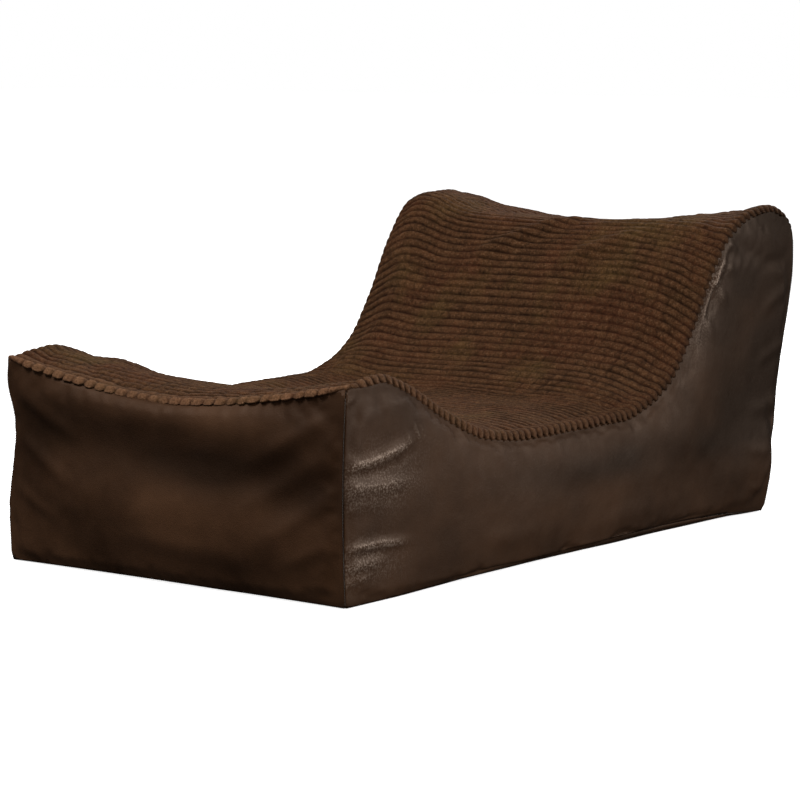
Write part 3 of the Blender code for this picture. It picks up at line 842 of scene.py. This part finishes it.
def side_panel(side, finish):
    sign = 1.0 if side == "left" else -1.0
    first, second = np.meshgrid(spaced(SEAM_LENGTH, PANEL_STEP), spaced(0.42, PANEL_STEP))
    edge = SEAM_GAP / SEAM_LENGTH

    def place(f, s):
        return np.full(f.shape, sign), edge + f * (1 - 2 * edge), 0.001 + s * 0.998

    def folds(xyz):
        distance = xyz[..., 1] + ORIGIN_FROM_FOOT + (0.0 if sign > 0 else 0.017)
        return side_folds(distance, xyz[..., 2])

    outer, inner, swell, lip = leather_panel(side, place, first, second, folds, sign < 0)
    distance, height = outer[..., 1] + ORIGIN_FROM_FOOT, outer[..., 2]
    # Painted highlights, added to the wear: pucker crests, the lip by the foot end's corner, broad
    # patches near that corner and the backrest's seam.
    pucker_crest_sheen = ease((folds_of(PUCKERS, distance, height) - 0.0004) / 0.004)
    by_corner = lip * ease((0.03 - distance) / 0.02)
    backrest = bell((distance - 0.99) / 0.06) * bell((top_seam(distance) - height) / 0.06)
    backrest *= 0.35 + 0.65 * ease(swell / 0.004)
    broad = bell((distance - 0.07) / 0.09) * bell((height - 0.19) / 0.042)
    broad += bell((distance - 0.04) / 0.07) * bell((height - 0.065) / 0.034)
    broad *= 0.4 * (0.8 + 0.6 * noise(distance / 0.05, height / 0.025))
    wear = np.clip(pucker_crest_sheen + broad + 0.8 * by_corner + backrest, 0, 1)
    # Painted shade: darker over the backrest's upper side and along a band low on the side.
    dye = 1.2 * ease((distance - 0.93) / 0.13) * ease((height - 0.13) / 0.08)
    dye += 0.9 * bell((height - 0.15) / 0.035) * ease((distance - 0.3) / 0.3)
    dye = np.clip(dye * (0.85 + 0.5 * noise(distance / 0.09, height / 0.06)), 0, 1)
    names = f"leather_side_{side}", f"{side}_side_panel"
    leather_piece(*names, outer, inner, sign < 0, finish, wear=wear, dye=dye)


def end_panel(name, node, face, ups, folds, finish):
    """The foot end, or the rear below or above its zip, between two heights as parts of it."""
    rear = face == "rear"
    height = (ups[1] - ups[0]) * (REAR_TOP if rear else FOOT_TOP)
    first, second = np.meshgrid(spaced(WIDTH, PANEL_STEP), spaced(height, PANEL_STEP))

    def place(f, s):
        across = (2 * f - 1) * END_EDGE
        low, high = (np.full(f.shape, up) for up in ups)
        if rear:
            middle = ZIP_HEIGHT / REAR_TOP
            reach = np.abs(bag_points(across, 1.0, middle)[..., 0])
            past_zip = 0.97 * ease((reach - ZIP_SPAN) / 0.01)
            low += past_zip * (middle - low) * (ups[0] > middle)
            high += past_zip * (middle - high) * (ups[1] < middle)
        return across, np.full(f.shape, float(rear)), low + s * (high - low)

    def creases(xyz):
        return folds(xyz[..., 0], xyz[..., 2])

    outer, inner, _, lip = leather_panel(face, place, first, second, creases, rear)
    beside = ease((np.abs(outer[..., 0]) / BASE_HALF_WIDTH - 0.95) / 0.03)
    # Painted highlight: the lip beside the upright seams is paler, together with its wear.
    painted = {"wear": 0.8 * lip * beside}
    if not rear:
        x, height = outer[..., 0], outer[..., 2]
        # Painted shade: a dark band across the middle height of the foot end.
        dye = bell((height - 0.2 + 0.06 * x) / 0.046) * (1 - (x / 0.36) ** 4)
        painted["dye"] = np.clip(dye * (0.9 + 0.4 * noise(x / 0.1, height / 0.05)), 0, 1)
    leather_piece(name, node, outer, inner, rear, finish, **painted)


def base_panel(finish):
    first, second = np.meshgrid(spaced(WIDTH, BASE_STEP), spaced(SEAM_LENGTH, BASE_STEP))

    def place(f, s):
        return (2 * f - 1) * END_EDGE, 0.0005 + s * 0.999, np.zeros(f.shape)

    def folds(xyz):
        return np.minimum(0.0009 * noise(xyz[..., 0] / 0.09, xyz[..., 1] / 0.11) - 0.0009, 0.0)

    outer, inner, _, lip = leather_panel("none", place, first, second, folds, True)
    outer[..., 2] = np.maximum(outer[..., 2], 0.0)
    leather_piece("leather_base", "base_panel", outer, inner, True, finish, wear=0.2 * lip)


# ---- corduroy


def arc_rows():
    """Along values evenly spaced by arc length, with a whole number of wales."""
    distance = np.linspace(0, SEAM_LENGTH, 4001)
    steps = np.hypot(np.diff(distance), np.diff(top_seam(distance)))
    length = np.concatenate([[0.0], np.cumsum(steps)])
    wales = int(round(length[-1] / WALE))
    marks = np.linspace(0, length[-1], wales * WALE_ROWS + 1)
    return np.interp(marks, length, distance) / SEAM_LENGTH


def across_columns():
    """Across values: whole tufts over the middle, closer lines over the rolled edges."""
    middle = BASE_HALF_WIDTH - ROLL_WIDTH
    tufts = round(2 * middle / TUFT)
    inner = np.linspace(-middle, middle, tufts * TUFT_COLUMNS + 1)
    edge = middle + np.linspace(0, 1, 21)[1:] * (ROLL_WIDTH - 0.0002)
    return np.concatenate([-edge[::-1], inner, edge]) / BASE_HALF_WIDTH


def rolled(gap, rise):
    """Where fabric at a distance from the seam lies once its edge is rolled: (out, up, turn)."""
    flat = ROLL_WIDTH - ROLL_IN
    total = flat + ROLL_RADIUS * ROLL_TURN
    run = np.clip(1 - gap / ROLL_WIDTH, 0, 1) * total
    turn = np.clip((run - flat) / ROLL_RADIUS, 0, ROLL_TURN)
    out = -ROLL_WIDTH + np.minimum(run, flat) + ROLL_RADIUS * np.sin(turn)
    up = rise * ease(run / flat) + ROLL_RADIUS * (np.cos(turn) - 1)
    return np.where(gap < ROLL_WIDTH, out + gap, 0.0), np.where(gap < ROLL_WIDTH, up, 0.0), turn


def plush_top(finish):
    rows, columns = arc_rows(), across_columns()
    across, along = np.meshgrid(columns, rows)
    up = np.ones(across.shape)
    base = bag_points(across, along, up)
    out = normals_of(base, False)
    axes = block_axes(across, along, up)
    row = np.arange(len(rows))[:, None] + 0 * across
    column = np.arange(len(columns))[None, :] + 0 * across
    distance = along * SEAM_LENGTH
    gap_side, gap_end, _ = seam_distances(across, along, up)
    held = ease(np.minimum(gap_side, gap_end) / 0.03)
    body = plush_folds(across, distance) + 0.4 * wrinkle("top", (across + 1) / 2, along)
    body *= held
    points = base + out * body[..., None]
    turned = np.zeros(across.shape)
    for gap, other, way, high in (
        (gap_side, gap_end, np.sign(across)[..., None] * axes[0], roll_rise(distance)),
        (distance, gap_side, -axes[1], END_RISE),
        (SEAM_LENGTH - distance, gap_side, axes[1], END_RISE),
    ):
        shift, rise, turn = (part * ease(other / 0.05) for part in rolled(gap, high))
        points += way * shift[..., None] + out * rise[..., None]
        turned = np.maximum(turned, turn / ROLL_TURN)
    points += 0.7 * seam_pull(across, along, up)
    facing = normals_of(points, False)

    wale, phase = np.divmod(row, WALE_ROWS)
    lobe = 1 - np.abs(2 * phase / WALE_ROWS - 1) ** 3
    first = np.argmin(np.abs(columns + 1 - ROLL_WIDTH / BASE_HALF_WIDTH))
    tuft, part = np.divmod(column - first, TUFT_COLUMNS)
    inside = gap_side > ROLL_WIDTH - 0.001
    kernels = 0.3 + 0.9 * ease((0.4 - distance) / 0.15) + 0.35 * noise(across * 3, distance / 0.2)
    kernels += 0.7 * ease((across + 0.1) / 0.5) * bell((distance - 0.86) / 0.16)
    by_foot = ease((0.034 - distance) / 0.03)
    cut = np.clip(kernels, 0.1, 1) * (0.15 + 0.5 * random_of(wale, tuft))
    cut = np.maximum(cut, (0.6 + 0.35 * random_of(wale, tuft)) * by_foot)
    cut = np.where((part == 0) & inside, cut, 0.0)
    size = np.where(inside, 0.88 + 0.18 * random_of(wale + 31, tuft), 0.95)
    size *= 0.92 + 0.16 * random_of(wale, 7)
    pile = lobe * size * (1 - cut)
    tall = WALE_HEIGHT * (1 + 0.25 * turned) * (1 + 0.6 * by_foot)
    tall *= 0.85 + 0.15 * noise(across * 9, along * 22)
    points += facing * (pile * tall)[..., None]
    run = unit(np.gradient(points, axis=0))
    sway = 0.0022 * noise(across * 5.5, along * 30 + 3) + 0.0011 * noise(across * 19, wale * 0.9)
    sway += 0.0075 * turned**2
    points += run * (sway * held + sway * turned * (1 - held))[..., None]
    wander = ease((gap_side - ROLL_WIDTH) / 0.03)
    points[..., 0] += 0.0035 * wander * noise(across * 40, wale * 0.7 + 5)
    inset = PLUSH / SEAM_LENGTH
    inner = bag_points(across * (1 - 2 * PLUSH / WIDTH), inset + along * (1 - 2 * inset), up)
    inner += out * (body - PLUSH)[..., None]
    thing = closed_panel("plush_top", points, inner, (WALE_ROWS, TUFT_COLUMNS), finish, False)
    paint(thing, "pile", np.clip(pile, 0, 1))
    # The rim's painted highlight fades towards the backrest and covers the foot edge.
    fade = 0.15 + 0.85 * ease((0.86 - distance) / 0.2)
    paint(thing, "rim", np.maximum(turned * fade, 0.5 * by_foot) * np.clip(pile, 0.1, 1))
    paint(thing, "tone", random_of(wale + 17, tuft + 3) * np.where(inside, 1.0, 0.6))
    dress(thing, "plush_corduroy", "top_panel")


# ---- zips, threads and filling


def tube_faces(rings):
    sides, faces = len(AROUND), []
    for i in range(rings - 1):
        a, b = i * sides, (i + 1) * sides
        faces += [(a + k, a + (k + 1) % sides, b + (k + 1) % sides, b + k) for k in range(sides)]
    faces.append(tuple(reversed(range(sides))))
    faces.append(tuple(range((rings - 1) * sides, rings * sides)))
    return faces


def zip_coil(node, side, half, tape_y, finish):
    """A nylon monofilament wound into a flat coil along the tape's edge."""
    turns = int(2 * half / COIL_PITCH)
    t = np.linspace(0, turns, turns * COIL_PARTS + 1)
    angle = 2 * np.pi * t + (np.pi if side > 0 else 0)
    reach_z, reach_y = COIL_WIDTH / 2 - COIL_WIRE, COIL_DEPTH / 2 - COIL_WIRE
    centre = np.stack([
        -half + COIL_WIRE + t / turns * (2 * half - 2 * COIL_WIRE),
        tape_y + COIL_GAP + COIL_DEPTH / 2 + reach_y * np.cos(angle),
        ZIP_HEIGHT + side * (ZIP_SLOT / 2 + COIL_WIDTH / 2) + reach_z * np.sin(angle),
    ], -1)
    run = unit(np.gradient(centre, axis=0))
    side_way = unit(np.cross(run, (1.0, 0.0, 0.0)))
    other = np.cross(run, side_way)
    ring = [centre + COIL_WIRE * (c * side_way + s * other) for c, s in AROUND]
    thing = new_mesh(f"{node}_winding", np.stack(ring, 1), tube_faces(len(t)), finish)
    dress(thing, "zip_nylon", node)


def repaint(node, finish):
    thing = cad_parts[node]
    thing.data.materials.clear()
    thing.data.materials.append(finish)
    worn = thing.modifiers.new("worn edges", "BEVEL")
    worn.width = WORN_EDGE
    worn.segments = 2
    worn.limit_method = "ANGLE"


def zips(nylon, tape, metal):
    for zip_ in ("zip", "liner_zip"):
        for name, side in (("lower", -1), ("upper", 1)):
            low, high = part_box(f"{zip_}_coil_{name}")
            zip_coil(f"{zip_}_coil_{name}", side, high.x, low.y - COIL_GAP, nylon)
            repaint(f"{zip_}_tape_{name}", tape)
            repaint(f"{zip_}_top_stop_{name}", metal)
        repaint(f"{zip_}_bottom_stop", metal)
        repaint(f"{zip_}_slider", metal)
    repaint("zip_pull", metal)


def seam_lines():
    """Block places along every leather seam, and along the zip's hems, with their depth."""
    t = np.linspace(0, 1, 400)
    lines = []
    for across in (-1.0, 1.0):
        for along in (0.0, 1.0):
            lines.append((across, along, 0.02 + 0.94 * t, THREAD_DEPTH))
        lines.append((across, 0.01 + 0.98 * t, 0.0, THREAD_DEPTH))
    for along in (0.0, 1.0):
        lines.append((-0.98 + 1.96 * t, along, 0.0, THREAD_DEPTH))
    for off in (-1, 1):
        up = (ZIP_HEIGHT + off * (ZIP_OPENING / 2 + 0.003)) / REAR_TOP
        lines.append((-0.93 + 1.86 * t, 1.0, up, HEM_DEPTH))
    return lines


def seam_threads(finish):
    """Lockstitches: short twisted dashes that sit in the seams and beside the zip."""
    points, faces = [], []
    for *places, depth in seam_lines():
        across, along, up = np.broadcast_arrays(*places)
        axes = block_axes(across, along, up)
        side = np.sign(across) * (np.abs(across) > 0.999)
        end = (along > 0.999) * 1.0 - (along < 0.001)
        ways = ((side, axes[0]), (end, axes[1]), (-1.0 * (up < 0.001), axes[2]))
        way = unit(sum(sign[:, None] * axis for sign, axis in ways))
        line = bag_points(across, along, up) - way * depth
        length = np.concatenate([[0], np.cumsum(np.linalg.norm(np.diff(line, axis=0), axis=1))])
        for start in np.arange(0.002, length[-1] - STITCH, STITCH_PITCH):
            at = start + STITCH * np.array([0.0, 0.25, 0.75, 1.0])
            spine = np.stack([np.interp(at, length, line[:, k]) for k in range(3)], -1)
            out = np.array([np.interp(start, length, way[:, k]) for k in range(3)])
            over = unit(np.cross(unit(spine[-1] - spine[0]), out))
            first = len(points)
            for spot, thick, lift in zip(spine, (0.4, 1.0, 1.0, 0.4), (-1.0, 0.2, 0.2, -1.0)):
                for c, s in AROUND:
                    points.append(spot + THREAD_RADIUS * (thick * (c * over + s * out) + out * lift))
            faces += [tuple(first + i for i in f) for f in tube_faces(4)]
    dress(new_mesh("seam_threads", points, faces, finish), "faux_leather")


def closed_skin(depths, step, slot):
    """Points and quads of a closed layer at depths (side, foot, rear, base, top) in the bag."""
    lines = even_lines((int(WIDTH / step) | 1, int(SEAM_LENGTH / step), int(0.36 / step)))
    hem = (ZIP_HEIGHT + np.array([-0.5, 0.5]) * ZIP_OPENING) / REAR_TOP
    lines[2] = np.sort(np.concatenate([lines[2][np.abs(lines[2] - hem.mean()) > 0.03], hem]))
    if slot:
        by_end = np.abs(np.abs(lines[0]) - LINER_SLOT) < 0.012
        lines[0][by_end] = np.sign(lines[0][by_end]) * LINER_SLOT
    (across, along, up), grids = skin_grids(lines)
    faces, border = [], set()
    for face, grid in grids.items():
        for i, j in itertools.product(range(grid.shape[0] - 1), range(grid.shape[1] - 1)):
            quad = [int(grid[i + a, j + b]) for a, b in ((0, 0), (0, 1), (1, 1), (1, 0))]
            in_slot = slot and face == "rear" and abs(lines[2][i] - hem[0]) < 1e-6
            if in_slot and abs(lines[0][j] + lines[0][j + 1]) < 2 * LINER_SLOT:
                for a, b in zip(quad, quad[1:] + quad[:1]):
                    border ^= {tuple(sorted((a, b)))}
            else:
                faces.append(quad[::-1] if face in INWARD else quad)
    side, foot, rear, base, top = depths
    inside = 1 - side / half_width(along, up)
    height = top_seam(along * SEAM_LENGTH)
    across = np.clip(across, -inside, inside)
    along = np.clip(along, foot / SEAM_LENGTH, 1 - rear / SEAM_LENGTH)
    up = np.clip(up, base / height, 1 - top / height)
    return bag_points(across, along, up), faces, border


def inner_liner(finish):
    outer, faces, border = closed_skin(LINER_DEPTHS, LINER_STEP, True)
    inner, _, _ = closed_skin([d + LINER_CLOTH for d in LINER_DEPTHS], LINER_STEP, True)
    crumple = noise(*(outer.T / 0.045)) + 0.5 * noise(*(outer.T / 0.021))
    off_zip = ease((np.abs(outer[:, 2] - ZIP_HEIGHT) - 0.014) / 0.03 + (outer[:, 1] < 0.45))
    push = unit(outer - inner) * (0.0007 * crumple * off_zip)[:, None]
    count = len(outer)
    faces = faces + [tuple(i + count for i in reversed(f)) for f in faces]
    faces += [(a, b, b + count, a + count) for a, b in sorted(border)]
    thing = new_mesh("liner_bag", np.concatenate([outer + push, inner + push]), faces, finish)
    dress(thing, "liner_cloth", "inner_liner")


def bead_mass(finish):
    points, faces, _ = closed_skin(BEAD_DEPTHS, BEAD_STEP, False)
    lumps = noise(*(points.T / 0.0075)) + 0.6 * noise(*(points.T / 0.03))
    points = points + unit(points - points.mean(0)) * (0.0011 * lumps)[:, None]
    thing = new_mesh("bead_mass", points, faces, finish)
    dress(thing, "foam_beads", "bead_fill")


# ---- set, lights and camera


def aimed(name, data, place, aim):
    thing = bpy.data.objects.new(name, data)
    SCENE.collection.objects.link(thing)
    thing.location = place
    thing.rotation_euler = (Vector(aim) - Vector(place)).to_track_quat("-Z", "Y").to_euler()
    return thing


def area_light(name, place, aim, size, power, lights=True, shines=True):
    """A soft light, which may only light things or only show in their shine."""
    lamp = bpy.data.lights.new(name, "AREA")
    lamp.shape = "RECTANGLE"
    lamp.size, lamp.size_y = size
    lamp.energy = power
    thing = aimed(name, lamp, place, aim)
    thing.visible_diffuse, thing.visible_glossy = lights, shines


def studio():
    points = [(-30, -30, 0), (30, -30, 0), (30, 30, 0), (-30, 30, 0)]
    floor = new_mesh("floor", points, [(0, 1, 2, 3)], floor_finish())
    floor.visible_glossy = floor.visible_diffuse = False
    world = bpy.data.worlds.new("studio")
    SCENE.world = world
    world.use_nodes = True
    world.cycles_visibility.glossy = False
    tree = world.node_tree
    soft = tree.nodes["Background"]
    soft.inputs["Color"].default_value = (1.0, 0.98, 0.96, 1.0)
    soft.inputs["Strength"].default_value = 0.3
    backdrop = tree.nodes.new("ShaderNodeBackground")
    backdrop.inputs["Color"].default_value = (1.0, 1.0, 1.0, 1.0)
    choice = tree.nodes.new("ShaderNodeMixShader")
    seen = tree.nodes.new("ShaderNodeLightPath").outputs["Is Camera Ray"]
    for i, source in enumerate((seen, soft.outputs[0], backdrop.outputs[0])):
        tree.links.new(source, choice.inputs[i])
    tree.links.new(choice.outputs[0], tree.nodes["World Output"].inputs["Surface"])
    SCENE.view_settings.view_transform = "Standard"
    area_light("key", (-1.2, -2.1, 3.8), (0, 0, 0.3), (1.8, 1.8), 165)
    area_light("side", (2.6, -1.3, 1.5), (0.3, -0.5, 0.15), (1.0, 1.0), 44, shines=False)
    area_light("glint", (3.2, 1.6, 1.5), (0.35, -0.2, 0.2), (0.6, 0.6), 150, lights=False)
    area_light("rear", (-0.6, 3.4, 2.4), (0, 0.5, 0.2), (1.6, 1.2), 110)


def camera():
    """38 degrees round to the sitter's left of the foot end, 7 degrees above the floor."""
    azimuth, elevation, distance = np.radians(37.9), np.radians(6.95), 5.04
    level, aim = np.cos(elevation), Vector((0.0, -0.053, 0.2315))
    back = Vector((np.sin(azimuth) * level, -np.cos(azimuth) * level, np.sin(elevation)))
    lens = bpy.data.cameras.new("camera")
    lens.lens, lens.sensor_width = 135.0, 36.0
    lens.clip_start, lens.clip_end = 0.05, 200.0
    SCENE.camera = aimed("camera", lens, aim + back * distance, aim)


def main():
    leather = leather_finish()
    plush_top(plush_finish())
    side_panel("left", leather)
    side_panel("right", leather)
    low, high = ((ZIP_HEIGHT + side * ZIP_OPENING / 2) / REAR_TOP for side in (-1, 1))
    end_panel("leather_front", "front_panel", "front", (0.001, 0.999), front_folds, leather)
    end_panel("leather_rear_lower", "rear_lower_panel", "rear", (0.001, low), rear_folds, leather)
    end_panel("leather_rear_upper", "rear_upper_panel", "rear", (high, 0.999), rear_folds, leather)
    base_panel(leather)
    seam_threads(thread_finish())
    zips(nylon_finish(), tape_finish(), metal_finish())
    inner_liner(cloth_finish())
    bead_mass(beads_finish())
    studio()
    camera()


main()
